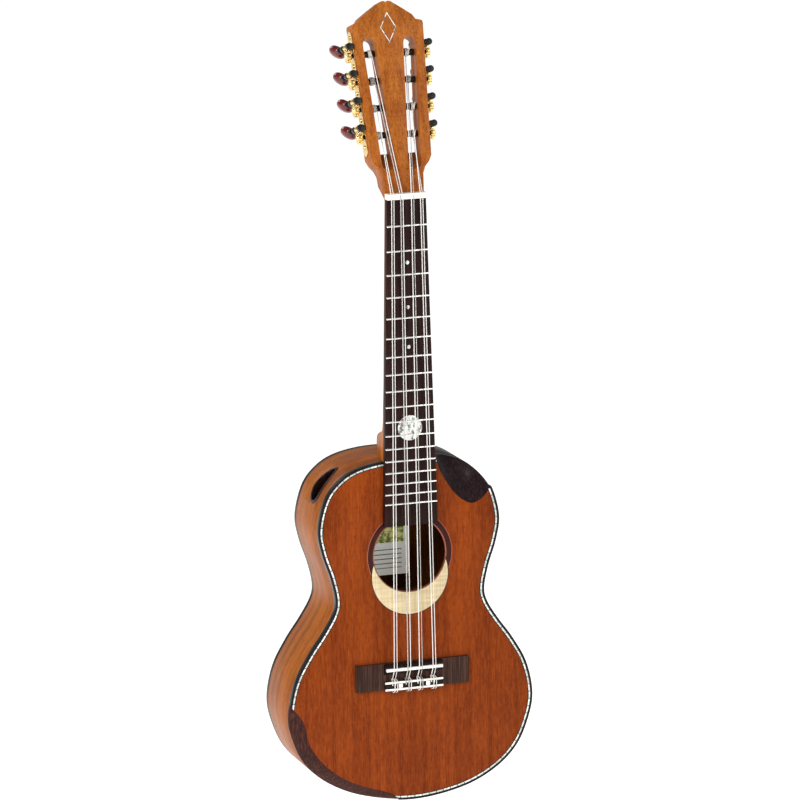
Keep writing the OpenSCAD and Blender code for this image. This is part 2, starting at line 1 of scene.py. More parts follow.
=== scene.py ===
"""Finishes the eight-string ukulele: woods, trim, strings, tuners, a floor, soft lights and a camera."""

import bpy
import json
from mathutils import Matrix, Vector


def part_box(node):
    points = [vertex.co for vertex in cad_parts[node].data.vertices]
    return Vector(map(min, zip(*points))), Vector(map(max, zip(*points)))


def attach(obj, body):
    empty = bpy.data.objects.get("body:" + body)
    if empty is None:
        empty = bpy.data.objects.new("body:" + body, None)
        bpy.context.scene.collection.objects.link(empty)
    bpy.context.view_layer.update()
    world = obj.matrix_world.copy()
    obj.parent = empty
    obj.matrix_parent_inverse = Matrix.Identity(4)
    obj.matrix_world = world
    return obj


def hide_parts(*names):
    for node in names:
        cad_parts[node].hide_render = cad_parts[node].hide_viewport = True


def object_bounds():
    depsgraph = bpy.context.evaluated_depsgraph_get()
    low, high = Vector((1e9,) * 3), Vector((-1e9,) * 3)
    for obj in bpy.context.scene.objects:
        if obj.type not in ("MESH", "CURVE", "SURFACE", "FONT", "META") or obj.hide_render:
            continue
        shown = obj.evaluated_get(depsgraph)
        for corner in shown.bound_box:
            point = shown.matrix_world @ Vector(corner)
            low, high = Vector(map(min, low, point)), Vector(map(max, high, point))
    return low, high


bl_info = {
    "name": "Eight-String Ukulele",
    "version": (1, 0, 0),
    "blender": (4, 5, 0),
    "location": "View3D > Sidebar > Ukulele",
    "description": "Builds the finished pieces of an eight-string ukulele round its fixed frame",
    "category": "Object",
}

import json
import math

import bmesh
import bpy
from bpy.props import FloatProperty, FloatVectorProperty, IntProperty, PointerProperty
from mathutils import Matrix, Vector

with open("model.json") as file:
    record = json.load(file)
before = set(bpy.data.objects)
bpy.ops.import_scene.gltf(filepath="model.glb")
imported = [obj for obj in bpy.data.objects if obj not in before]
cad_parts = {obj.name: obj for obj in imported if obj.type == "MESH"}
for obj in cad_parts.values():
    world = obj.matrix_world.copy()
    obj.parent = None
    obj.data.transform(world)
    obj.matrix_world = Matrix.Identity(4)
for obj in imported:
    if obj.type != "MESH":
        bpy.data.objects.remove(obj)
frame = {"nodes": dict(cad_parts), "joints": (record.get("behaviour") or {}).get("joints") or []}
cad_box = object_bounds()
MM = 0.001
TUNERS = range(1, 9)
JOINTS = {joint["name"]: joint for joint in frame["joints"]}


# ---------------------------------------------------------------- Settings

def colour(name, description, default):
    return FloatVectorProperty(
        name=name, description=description, default=default, subtype="COLOR", min=0.0, max=1.0
    )


def length(name, description, default):
    return FloatProperty(name=name, description=description, default=default, unit="LENGTH", min=0.0)


class UkuleleBodySettings(bpy.types.PropertyGroup):
    top_light: colour("Top, light", "Pale bands of the soundboard's wood", (0.285, 0.052, 0.006))
    top_dark: colour("Top, dark", "Dark bands of the soundboard's wood", (0.115, 0.017, 0.002))
    side_light: colour("Sides, light", "Pale bands of the wood of the sides and back", (0.40, 0.120, 0.017))
    side_dark: colour("Sides, dark", "Dark bands of the wood of the sides and back", (0.155, 0.038, 0.006))
    edge_round: length("Edge rounding", "How far the body's edges are eased", 0.5 * MM)
    pearl_step: length("Pearl strip", "Length of one strip of the pearl line", 7 * MM)


class UkuleleNeckSettings(bpy.types.PropertyGroup):
    light: colour("Neck, light", "Pale bands of the neck's wood", (0.45, 0.145, 0.022))
    dark: colour("Neck, dark", "Dark bands of the neck's wood", (0.19, 0.042, 0.007))
    board: colour("Fretboard", "Main colour of the fretboard", (0.009, 0.0028, 0.0022))
    edge_round: length("Edge rounding", "How far the neck's edges are eased", 0.8 * MM)


class UkuleleStringSettings(bpy.types.PropertyGroup):
    nylon: colour("Nylon", "Colour of the plain strings", (0.86, 0.84, 0.80))
    wound: colour("Wound", "Colour of the wound strings", (0.70, 0.66, 0.62))
    turns: IntProperty(name="Turns", description="Turns of string on each roller", default=3, min=1, max=5)


class UkuleleTunerSettings(bpy.types.PropertyGroup):
    gold: colour("Gold", "Colour of the plated metal", (0.90, 0.66, 0.27))
    button: colour("Button", "Colour of the tuning buttons", (0.20, 0.012, 0.008))
    cheek: length("Button thickness", "Thickness of a button across its cheeks", 9.6 * MM)


class UkuleleStageSettings(bpy.types.PropertyGroup):
    azimuth: FloatProperty(
        name="Azimuth", description="Where the camera stands round the object",
        default=math.radians(-18.49), subtype="ANGLE",
    )
    elevation: FloatProperty(
        name="Elevation", description="How far the camera looks down",
        default=math.radians(11.73), subtype="ANGLE",
    )
    aim: FloatVectorProperty(
        name="Aim", description="The point the camera looks at", default=(-7.05 * MM, 0.0, -184.52 * MM),
        subtype="TRANSLATION",
    )
    roll: FloatProperty(
        name="Roll", description="How far the picture leans", default=math.radians(-0.89), subtype="ANGLE"
    )
    distance: length("Distance", "From the camera to the point it looks at", 4.621)
    lens: FloatProperty(name="Lens", description="Focal length in millimetres", default=230.3, min=10)
    floor: colour("Floor", "Colour of the floor", (0.93, 0.93, 0.92))
    drop: length("Floor drop", "How far the floor lies below the body", 0.35)


# ---------------------------------------------------------------- Material tools

def put(tree, kind, inputs=None, **settings):
    """Adds a shader node. An input may be a value or another node's output."""
    node = tree.nodes.new(kind)
    for key, value in settings.items():
        setattr(node, key, value)
    for key, value in (inputs or {}).items():
        if isinstance(value, bpy.types.NodeSocket):
            tree.links.new(value, node.inputs[key])
        else:
            node.inputs[key].default_value = value
    return node


def full(rgb):
    return (*rgb[:3], 1.0)


def blank(name):
    """A new material and its tree, with only an output node."""
    material = bpy.data.materials.new(name)
    material.use_nodes = True
    material.node_tree.nodes.clear()
    return material, material.node_tree


def close(tree, surface):
    output = put(tree, "ShaderNodeOutputMaterial")
    tree.links.new(surface.outputs[0], output.inputs["Surface"])


def object_place(tree):
    return put(tree, "ShaderNodeTexCoord").outputs["Object"]


def uv_place(tree):
    return put(tree, "ShaderNodeTexCoord").outputs["UV"]


def calc(tree, operation, a, b=0.0, c=0.0):
    return put(tree, "ShaderNodeMath", {0: a, 1: b, 2: c}, operation=operation).outputs[0]


def blend(tree, share, a, b, mode="MIX"):
    """Mixes two colours; a share may be a number or an output."""
    node = put(tree, "ShaderNodeMix", data_type="RGBA", blend_type=mode)
    for key, value in ((0, share), (6, a), (7, b)):
        if isinstance(value, bpy.types.NodeSocket):
            tree.links.new(value, node.inputs[key])
        else:
            node.inputs[key].default_value = value
    return node.outputs[2]


def spread(tree, vector, sizes, shift=0.0):
    """Coordinates counted in features of the given sizes, in metres."""
    scale = tuple(1.0 / size for size in sizes)
    node = put(tree, "ShaderNodeMapping", {"Vector": vector, "Scale": scale, "Location": (shift,) * 3})
    return node.outputs[0]


def cloud(tree, vector, sizes, detail=3.0, rough=0.55, shift=0.0):
    place = spread(tree, vector, sizes, shift)
    inputs = {"Vector": place, "Scale": 1.0, "Detail": detail, "Roughness": rough}
    return put(tree, "ShaderNodeTexNoise", inputs).outputs[0]


def between(tree, value, low, high):
    """0 below low, 1 above high and smooth in between."""
    inputs = {"Value": value, "From Min": low, "From Max": high}
    return put(tree, "ShaderNodeMapRange", inputs, interpolation_type="SMOOTHSTEP").outputs[0]


def bump(tree, height, depth, strength=1.0):
    return put(tree, "ShaderNodeBump", {"Height": height, "Distance": depth, "Strength": strength}).outputs[0]


def grain_place(tree, follows_side, matched):
    """Coordinates whose third axis runs along the grain."""
    if follows_side:
        parts = put(tree, "ShaderNodeSeparateXYZ", {0: uv_place(tree)})
        return put(tree, "ShaderNodeCombineXYZ", {0: parts.outputs[1], 2: parts.outputs[0]}).outputs[0]
    place = object_place(tree)
    if not matched:
        return place
    parts = put(tree, "ShaderNodeSeparateXYZ", {0: place})
    inputs = {0: calc(tree, "ABSOLUTE", parts.outputs[0]), 1: parts.outputs[1], 2: parts.outputs[2]}
    return put(tree, "ShaderNodeCombineXYZ", inputs).outputs[0]


def wood(name, light, dark, pores=0.6, gloss=0.42, coat=0.0, follows_side=False, matched=False, fine=1.0,
         veneer=False):
    """Open-grained wood: broad bands, ribbon figure, fibres, short dark pores and a satin film over them."""
    material, tree = blank(name)
    place = grain_place(tree, follows_side, matched)
    bands = cloud(tree, place, (9 * MM * fine, 9 * MM * fine, 0.45), 3.0)
    ribbon = cloud(tree, place, (22 * MM, 22 * MM, 0.055), 2.0, 0.5, 7.3)
    fibres = cloud(tree, place, (0.7 * MM * fine, 0.7 * MM * fine, 24 * MM), 4.0, 0.6, 3.1)
    mottle = cloud(tree, place, (2.2 * MM * fine, 2.2 * MM * fine, 7 * MM), 3.0, 0.6, 5.7)
    pore = cloud(tree, place, (0.42 * MM, 0.42 * MM, 4.5 * MM), 1.0, 0.5, 11.9)
    deep_pore = between(tree, pore, 0.64, 0.74)
    tone = calc(tree, "MULTIPLY_ADD", bands, 0.36, calc(tree, "MULTIPLY", ribbon, 0.24))
    tone = calc(tree, "ADD", tone, calc(tree, "MULTIPLY", fibres, 0.40))
    tone = calc(tree, "MULTIPLY_ADD", mottle, 0.29, tone)
    share = between(tree, tone, 0.46, 0.84)
    shade = blend(tree, share, full(dark), full(light))
    pore_colour = full([c * 0.30 for c in dark])
    shade = blend(tree, calc(tree, "MULTIPLY", deep_pore, pores), shade, pore_colour)
    if veneer:
        shade = blend(tree, veneer_share(tree), shade, (0.012, 0.007, 0.007, 1))
    rough = calc(tree, "MULTIPLY_ADD", mottle, 0.16, gloss - 0.08)
    rough = calc(tree, "MULTIPLY_ADD", deep_pore, 0.18, rough)
    height = calc(tree, "MULTIPLY_ADD", deep_pore, -1.0, calc(tree, "MULTIPLY", fibres, 0.35))
    surface = put(tree, "ShaderNodeBsdfPrincipled", {
        "Base Color": shade,
        "Roughness": rough,
        "Specular IOR Level": 0.06,
        "Coat Weight": coat,
        "Coat Roughness": 0.16,
        "Normal": bump(tree, height, 0.05 * MM, 0.7),
    })
    close(tree, surface)
    return material


# The ranges over which the shoulder's black veneer sets in, across and upwards
VENEER_ACROSS = (24 * MM, 25 * MM)
VENEER_UP = (-275 * MM, -272 * MM)


def veneer_share(tree):
    """1 on the treble shoulder, where a black veneer runs from the bevel to the back."""
    parts = put(tree, "ShaderNodeSeparateXYZ", {0: object_place(tree)})
    right = between(tree, parts.outputs[0], *VENEER_ACROSS)
    return calc(tree, "MULTIPLY", right, between(tree, parts.outputs[2], *VENEER_UP))


def dark_wood(name, base, streak, gloss=0.35, coat=0.25, contrast=1.0):
    """Close-grained dark wood with thin lighter streaks and a polished film."""
    material, tree = blank(name)
    place = object_place(tree)
    streaks = cloud(tree, place, (1.6 * MM, 1.6 * MM, 60 * MM), 5.0, 0.62, 2.0)
    fibres = cloud(tree, place, (0.4 * MM, 0.4 * MM, 9 * MM), 3.0, 0.6, 4.0)
    share = between(tree, calc(tree, "MULTIPLY_ADD", fibres, 0.3, streaks), 0.52, 0.90)
    shade = blend(tree, calc(tree, "MULTIPLY", share, contrast), full(base), full(streak))
    rough = calc(tree, "MULTIPLY_ADD", fibres, 0.2, gloss - 0.1)
    surface = put(tree, "ShaderNodeBsdfPrincipled", {
        "Base Color": shade,
        "Roughness": rough,
        "Specular IOR Level": 0.1,
        "Coat Weight": coat,
        "Coat Roughness": 0.08,
        "Normal": bump(tree, fibres, 0.02 * MM, 0.6),
    })
    close(tree, surface)
    return material


def radius_from(tree, x, z):
    """Distance from an axis that runs front to back at x, z."""
    parts = put(tree, "ShaderNodeSeparateXYZ", {0: object_place(tree)})
    across = calc(tree, "SUBTRACT", parts.outputs[0], x)
    up = calc(tree, "SUBTRACT", parts.outputs[2], z)
    return calc(tree, "SQRT", calc(tree, "ADD", calc(tree, "MULTIPLY", across, across),
                                   calc(tree, "MULTIPLY", up, up)))


def ring_wood(name, centre_z, inner, outer):
    """Dark polished ring with a thin reddish line along both of its edges."""
    material, tree = blank(name)
    place = object_place(tree)
    away = radius_from(tree, 0.0, centre_z)
    inside = between(tree, away, inner + 1.1 * MM, inner + 0.7 * MM)
    outside = between(tree, away, outer - 0.8 * MM, outer - 0.5 * MM)
    line = calc(tree, "MAXIMUM", inside, outside)
    grain = cloud(tree, place, (0.9 * MM, 0.9 * MM, 14 * MM), 4.0)
    body = blend(tree, grain, (0.012, 0.002, 0.0015, 1), (0.060, 0.008, 0.006, 1))
    shade = blend(tree, calc(tree, "MULTIPLY", line, 0.75), body, (0.38, 0.13, 0.08, 1))
    surface = put(tree, "ShaderNodeBsdfPrincipled", {
        "Base Color": shade,
        "Roughness": calc(tree, "MULTIPLY_ADD", grain, 0.15, 0.22),
        "Specular IOR Level": 0.1,
        "Coat Weight": 0.08,
        "Coat Roughness": 0.08,
        "Normal": bump(tree, grain, 0.02 * MM, 0.5),
    })
    close(tree, surface)
    return material


def maple(name, centre_z, outer, hole_z, hole_radius):
    """Pale curled maple with a dark line round it."""
    material, tree = blank(name)
    place = object_place(tree)
    grain = cloud(tree, place, (1.3 * MM, 1.3 * MM, 70 * MM), 4.0)
    curl = cloud(tree, place, (26 * MM, 26 * MM, 2.6 * MM), 2.0, 0.5, 9.0)
    tone = calc(tree, "MULTIPLY_ADD", curl, 0.45, calc(tree, "MULTIPLY", grain, 0.55))
    body = blend(tree, between(tree, tone, 0.34, 0.66), (0.50, 0.37, 0.20, 1), (0.68, 0.57, 0.36, 1))
    outside = between(tree, radius_from(tree, 0.0, centre_z), outer - 0.9 * MM, outer - 0.7 * MM)
    inside = between(tree, radius_from(tree, 0.0, hole_z), hole_radius + 1.0 * MM, hole_radius + 0.8 * MM)
    shade = blend(tree, outside, body, (0.02, 0.008, 0.005, 1))
    shade = blend(tree, inside, shade, (0.16, 0.05, 0.02, 1))
    surface = put(tree, "ShaderNodeBsdfPrincipled", {
        "Base Color": shade,
        "Roughness": calc(tree, "MULTIPLY_ADD", grain, 0.15, 0.28),
        "Specular IOR Level": 0.25,
        "Coat Weight": 0.05,
        "Normal": bump(tree, grain, 0.02 * MM, 0.5),
    })
    close(tree, surface)
    return material


def pearl(name, step=None, veins=0.0):
    """Shell with green and rose clouds, cut into strips along the edge if step is given, and maybe veined."""
    material, tree = blank(name)
    place = object_place(tree)
    clouds = cloud(tree, place, (2.6 * MM, 2.6 * MM, 3.8 * MM), 4.0, 0.6)
    swirl = cloud(tree, place, (5 * MM, 5 * MM, 8 * MM), 3.0, 0.6, 6.0)
    shade = blend(tree, between(tree, clouds, 0.38, 0.62), (0.50, 0.60, 0.53, 1), (0.90, 0.91, 0.86, 1))
    shade = blend(tree, between(tree, swirl, 0.52, 0.66), shade, (0.86, 0.68, 0.70, 1))
    if veins:
        vein = cloud(tree, place, (3.4 * MM, 3.4 * MM, 5.2 * MM), 5.0, 0.65, 15.0)
        shade = blend(tree, calc(tree, "MULTIPLY", between(tree, vein, 0.50, 0.58), veins), shade,
                      (0.05, 0.06, 0.05, 1))
    if step:
        along = put(tree, "ShaderNodeSeparateXYZ", {0: uv_place(tree)}).outputs[0]
        count = calc(tree, "DIVIDE", along, step)
        piece = put(tree, "ShaderNodeTexWhiteNoise", {"W": calc(tree, "FLOOR", count)}, noise_dimensions="1D")
        strength = calc(tree, "MULTIPLY_ADD", piece.outputs[0], 0.5, 0.62)
        shade = blend(tree, 1.0, shade, strength, "MULTIPLY")
        joint = between(tree, calc(tree, "ABSOLUTE", calc(tree, "SUBTRACT", calc(tree, "FRACT", count), 0.5)),
                        0.43, 0.46)
        shade = blend(tree, joint, shade, (0.02, 0.015, 0.012, 1))
    surface = put(tree, "ShaderNodeBsdfPrincipled", {
        "Base Color": shade,
        "Roughness": calc(tree, "MULTIPLY_ADD", swirl, 0.12, 0.10),
        "Specular IOR Level": 0.7,
        "Coat Weight": 0.5,
        "Coat Roughness": 0.06,
        "Normal": bump(tree, clouds, 0.03 * MM, 0.3),
    })
    close(tree, surface)
    return material


def smooth_stuff(name, base, other, rough, size=3 * MM, metallic=0.0, coat=0.0, clear=0.0, shine=0.3):
    """Even material with faint clouds in its colour and finish, for bone, plastic, resin and metal."""
    material, tree = blank(name)
    place = object_place(tree)
    clouds = cloud(tree, place, (size,) * 3, 4.0, 0.6)
    scratches = cloud(tree, place, (0.25 * MM, 1.5 * MM, 4 * MM), 2.0, 0.7, 8.0)
    surface = put(tree, "ShaderNodeBsdfPrincipled", {
        "Base Color": blend(tree, between(tree, clouds, 0.3, 0.7), full(base), full(other)),
        "Roughness": calc(tree, "MULTIPLY_ADD", scratches, 0.14, rough - 0.05),
        "Metallic": metallic,
        "Specular IOR Level": shine,
        "Coat Weight": coat,
        "Coat Roughness": 0.05,
        "Transmission Weight": clear,
        "Normal": bump(tree, calc(tree, "ADD", clouds, scratches), 0.01 * MM, 0.4),
    })
    close(tree, surface)
    return material


def wound_string(name, base):
    """A string with fine wire wrapped round it, seen as close bands along its length, with painted shade in
    the grooves between the turns.
    """
    material, tree = blank(name)
    parts = put(tree, "ShaderNodeSeparateXYZ", {0: object_place(tree)})
    wave = calc(tree, "SINE", calc(tree, "MULTIPLY", parts.outputs[2], 2 * math.pi / (0.35 * MM)))
    height = between(tree, wave, -1.0, 1.0)
    # The grooves between the wire's turns are darkened: painted shade.
    groove_shade = full([c * 0.35 for c in base])
    tarnish = cloud(tree, object_place(tree), (2 * MM, 2 * MM, 16 * MM), 3.0)
    surface = put(tree, "ShaderNodeBsdfPrincipled", {
        "Base Color": blend(tree, calc(tree, "MULTIPLY_ADD", height, 0.7, 0.3), groove_shade, full(base)),
        "Metallic": 0.6,
        "Roughness": calc(tree, "MULTIPLY_ADD", tarnish, 0.2, 0.25),
        "Normal": bump(tree, height, 0.08 * MM, 0.8),
    })
    close(tree, surface)
    return material


def label_paper(name, low, high):
    """Cream paper with a thin frame, a green and gold panel and plain ruled lines, glowing faintly as painted
    light.
    """
    material, tree = blank(name)
    parts = put(tree, "ShaderNodeSeparateXYZ", {0: object_place(tree)})
    across = between_linear(tree, parts.outputs[0], low.x, high.x)
    up = between_linear(tree, parts.outputs[2], low.z, high.z)
    fibre = cloud(tree, object_place(tree), (0.6 * MM,) * 3, 4.0)
    paper = blend(tree, fibre, (0.86, 0.84, 0.74, 1), (0.96, 0.95, 0.90, 1))
    garden = cloud(tree, object_place(tree), (5 * MM, 5 * MM, 4 * MM), 4.0)
    picture = blend(tree, between(tree, garden, 0.4, 0.6), (0.12, 0.20, 0.03, 1), (0.75, 0.70, 0.28, 1))
    panel = calc(tree, "MULTIPLY", inside_band(tree, across, 0.08, 0.92), inside_band(tree, up, 0.50, 0.93))
    shade = blend(tree, panel, paper, picture)
    rule = inside_band(tree, calc(tree, "FRACT", calc(tree, "MULTIPLY", up, 14.0)), 0.35, 0.6)
    rules = calc(tree, "MULTIPLY", rule, inside_band(tree, up, 0.10, 0.42))
    rules = calc(tree, "MULTIPLY", rules, inside_band(tree, across, 0.12, 0.88))
    shade = blend(tree, calc(tree, "MULTIPLY", rules, 0.8), shade, (0.06, 0.06, 0.05, 1))
    surface = put(tree, "ShaderNodeBsdfPrincipled", {
        "Base Color": shade,
        "Roughness": 0.8,
        # The paper glows faintly in its own colours: painted light that brightens it inside the body's shade.
        "Emission Color": shade,
        "Emission Strength": 0.25,
        "Normal": bump(tree, fibre, 0.02 * MM, 0.5),
    })
    close(tree, surface)
    return material


def between_linear(tree, value, low, high):
    return put(tree, "ShaderNodeMapRange", {"Value": value, "From Min": low, "From Max": high}).outputs[0]


def inside_band(tree, value, low, high):
    """1 between low and high, and 0 outside them."""
    above = calc(tree, "GREATER_THAN", value, low)
    below = calc(tree, "LESS_THAN", value, high)
    return calc(tree, "MULTIPLY", above, below)


# ---------------------------------------------------------------- Mesh tools

def merged(node):
    """One frame node as a bmesh, its triangles joined and its flat areas made whole."""
    bm = bmesh.new()
    bm.from_mesh(frame["nodes"][node].data)
    bmesh.ops.remove_doubles(bm, verts=bm.verts, dist=0.004 * MM)
    bmesh.ops.dissolve_degenerate(bm, edges=bm.edges, dist=0.004 * MM)
    bmesh.ops.dissolve_limit(bm, angle_limit=math.radians(0.4), verts=bm.verts, edges=bm.edges)
    return bm


# Edges that turn by more than this many degrees are eased
EASED_ANGLE = 32


def ease_edges(bm, width, segments=2):
    """Rounds every sharp edge."""
    limit = math.radians(EASED_ANGLE)
    edges = [e for e in bm.edges if e.is_manifold and e.calc_face_angle(0.0) > limit]
    if edges and width:
        bmesh.ops.bevel(
            bm, geom=edges, offset=width, offset_type="OFFSET", segments=segments,
            profile=0.5, affect="EDGES", clamp_overlap=True, material=-1,
        )


def finish_piece(name, bm, material, body="root", replaces=(), smooth=38):
    """Makes the bmesh an object that rides on a body, with its sharp edges kept."""
    mesh = bpy.data.meshes.new(name)
    bm.to_mesh(mesh)
    bm.free()
    mesh.shade_smooth()
    mesh.set_sharp_from_angle(angle=math.radians(smooth))
    mesh.materials.append(material)
    piece = bpy.data.objects.new(name, mesh)
    bpy.context.scene.collection.objects.link(piece)
    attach(piece, body)
    if replaces:
        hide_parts(*replaces)
    return piece


def finish_node(node, name, material, width, body="root", segments=2, smooth=38):
    """The usual piece: one frame node with eased edges and a finish."""
    bm = merged(node)
    ease_edges(bm, width, segments)
    return finish_piece(name, bm, material, body, (node,), smooth)


def edge_path():
    """The body's outline as ordered points and the running length at each."""
    bm = merged("back_plate")
    face = max((f for f in bm.faces if f.normal.y > 0.9), key=lambda f: f.calc_area())
    points = [Vector((v.co.x, v.co.z)) for v in face.verts]
    bm.free()
    lengths = [0.0]
    for a, b in zip(points, points[1:] + points[:1]):
        lengths.append(lengths[-1] + (b - a).length)
    return points, lengths


def length_along(path, x, z):
    """Running length of the outline's point nearest to x, z."""
    points, lengths = path
    here = Vector((x, z))
    best = (1e9, 0.0)
    for k, a in enumerate(points):
        b = points[(k + 1) % len(points)]
        run = b - a
        share = max(0.0, min(1.0, (here - a).dot(run) / run.length_squared))
        away = (a + share * run - here).length_squared
        if away < best[0]:
            best = (away, lengths[k] + share * run.length)
    return best[1]


def lay_along_edge(bm, path):
    """A UV map that runs along the outline in metres, and from front to back."""
    total = path[1][-1]
    layer = bm.loops.layers.uv.new("edge")
    along = {v: length_along(path, v.co.x, v.co.z) for v in bm.verts}
    for face in bm.faces:
        values = [along[v] for v in face.verts]
        wraps = max(values) - min(values) > total / 2
        for loop in face.loops:
            u = along[loop.vert]
            if wraps and u < total / 2:
                u += total
            loop[layer].uv = (u, loop.vert.co.y)


def finish_edge_node(node, name, material, width, path, segments=2):
    """A node that follows the body's outline, with a pattern that follows it too."""
    bm = merged(node)
    ease_edges(bm, width, segments)
    lay_along_edge(bm, path)
    return finish_piece(name, bm, material, "root", (node,))


def tube(name, routes, material, body="root", replaces=()):
    """Round cords along routes, each a list of (point, radius), as one mesh piece."""
    curve = bpy.data.curves.new(name, "CURVE")
    curve.dimensions = "3D"
    curve.bevel_depth = 1.0
    curve.bevel_resolution = 4
    curve.use_fill_caps = True
    for route in routes:
        spline = curve.splines.new("POLY")
        spline.points.add(len(route) - 1)
        for point, (place, radius) in zip(spline.points, route):
            point.co = (*place, 1.0)
            point.radius = radius
    maker = bpy.data.objects.new(name + "_route", curve)
    bpy.context.scene.collection.objects.link(maker)
    bpy.context.view_layer.update()
    bm = bmesh.new()
    bm.from_mesh(maker.to_mesh())
    maker.to_mesh_clear()
    bpy.data.objects.remove(maker)
    bmesh.ops.remove_doubles(bm, verts=bm.verts, dist=0.001 * MM)
    bmesh.ops.recalc_face_normals(bm, faces=bm.faces)
    return finish_piece(name, bm, material, body, replaces, 50)


def eased_route(points, steps):
    """Points on a smooth curve through the given ones."""
    found = []
    for k in range(len(points) - 1):
        a, b = points[max(k - 1, 0)], points[k]
        c, d = points[k + 1], points[min(k + 2, len(points) - 1)]
        for step in range(steps):
            t = step / steps
            found.append(0.5 * (2 * b + (c - a) * t + (2 * a - 5 * b + 4 * c - d) * t * t
                                + (3 * b - a - 3 * c + d) * t ** 3))
    return found + [points[-1]]


# Number of sides of a string in the frame
STRING_SIDES = 8


def string_routes():
    """The middle line of each string, bridge end first, in order from the bass side."""
    bm = merged("strings")
    left = set(bm.verts)
    routes = []
    while left:
        group, queue = [], [left.pop()]
        while queue:
            vert = queue.pop()
            group.append(vert.co.copy())
            for edge in vert.link_edges:
                other = edge.other_vert(vert)
                if other in left:
                    left.remove(other)
                    queue.append(other)
        group.sort(key=lambda p: p.z)
        rings = [group[k:k + STRING_SIDES] for k in range(0, len(group), STRING_SIDES)]
        centres = [sum(ring, Vector()) / len(ring) for ring in rings]
        radius = (rings[0][0] - centres[0]).length
        routes.append((centres, radius))
    bm.free()
    return sorted(routes, key=lambda route: route[0][3].x)


def tuner_place(k):
    """Where tuner k's roller axis crosses its gear: x outwards, y back, z towards the worm."""
    roller = JOINTS[f"roller_{k}_turn"]
    worm = JOINTS[f"button_{k}_turn"]
    origin = Vector(roller["pos_m"])
    side = 1 if origin.x > 0 else -1
    x = side * Vector(roller["axis"]).normalized()
    if x.x * side < 0:
        x = -x
    y = Vector(worm["axis"]).normalized()
    z = (Vector(worm["pos_m"]) - origin).normalized()
    place = Matrix((x, y, z)).transposed().to_4x4()
    place.translation = origin
    return place


def slotted_head(bm, radius, height, slot, place):
    """A domed screw head with a slot, standing on the origin of place and pointing along its z."""
    made = bmesh.new()
    bmesh.ops.create_circle(made, cap_ends=True, segments=20, radius=radius)
    base = list(made.faces)
    for grow, lift in ((1.0, 0.45), (0.86, 0.35), (0.55, 0.20)):
        top = bmesh.ops.extrude_face_region(made, geom=base)
        verts = [v for v in top["geom"] if isinstance(v, bmesh.types.BMVert)]
        base = [f for f in top["geom"] if isinstance(f, bmesh.types.BMFace)]
        bmesh.ops.translate(made, verts=verts, vec=(0, 0, lift * height))
        wide = max(Vector((v.co.x, v.co.y)).length for v in verts)
        bmesh.ops.scale(made, verts=verts, vec=(grow * radius / wide, grow * radius / wide, 1))
    for offset in (-slot / 2, slot / 2):
        bmesh.ops.bisect_plane(made, geom=made.verts[:] + made.edges[:] + made.faces[:], dist=1e-7,
                               plane_co=(offset, 0, 0), plane_no=(1, 0, 0))
    channel = [f for f in made.faces
               if abs(f.calc_center_median().x) < slot / 2 and f.calc_center_median().z > 0.5 * height]
    sunk = bmesh.ops.extrude_face_region(made, geom=channel)
    bmesh.ops.delete(made, geom=channel, context="FACES")
    bmesh.ops.translate(made, vec=(0, 0, -0.4 * height),
                        verts=[v for v in sunk["geom"] if isinstance(v, bmesh.types.BMVert)])
    bmesh.ops.recalc_face_normals(made, faces=made.faces)
    bmesh.ops.transform(made, matrix=place, verts=made.verts)
    scratch = bpy.data.meshes.new("head")
    made.to_mesh(scratch)
    made.free()
    bm.from_mesh(scratch)
    bpy.data.meshes.remove(scratch)


# ---------------------------------------------------------------- Body

# Width of the dark part of the soundhole ring
RING_WIDTH = 6.4 * MM


class UKULELE_OT_soundboard(bpy.types.Operator):
    """Soundboard, soundhole ring and crescent"""
    bl_idname = "ukulele.soundboard"
    bl_label = "Soundboard"

    def execute(self, context):
        body = context.scene.ukulele_body
        top = wood("soundboard wood", body.top_light, body.top_dark, pores=0.75, gloss=0.42, matched=True)
        finish_node("top_plate", "soundboard", top, 0.12 * MM)
        low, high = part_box("soundhole_ring")
        outer = (high.x - low.x) / 2
        hole_z = high.z - outer
        inlay_low, inlay_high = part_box("crescent_inlay")
        moon = (inlay_high.x - inlay_low.x) / 2
        moon_z = inlay_low.z + moon
        inner = outer - RING_WIDTH
        finish_node("soundhole_ring", "soundhole_ring_wood", ring_wood("ring wood", hole_z, inner, outer),
                    0.15 * MM)
        finish_node("crescent_inlay", "crescent_wood", maple("crescent maple", moon_z, moon, hole_z, inner),
                    0.12 * MM)
        return {"FINISHED"}


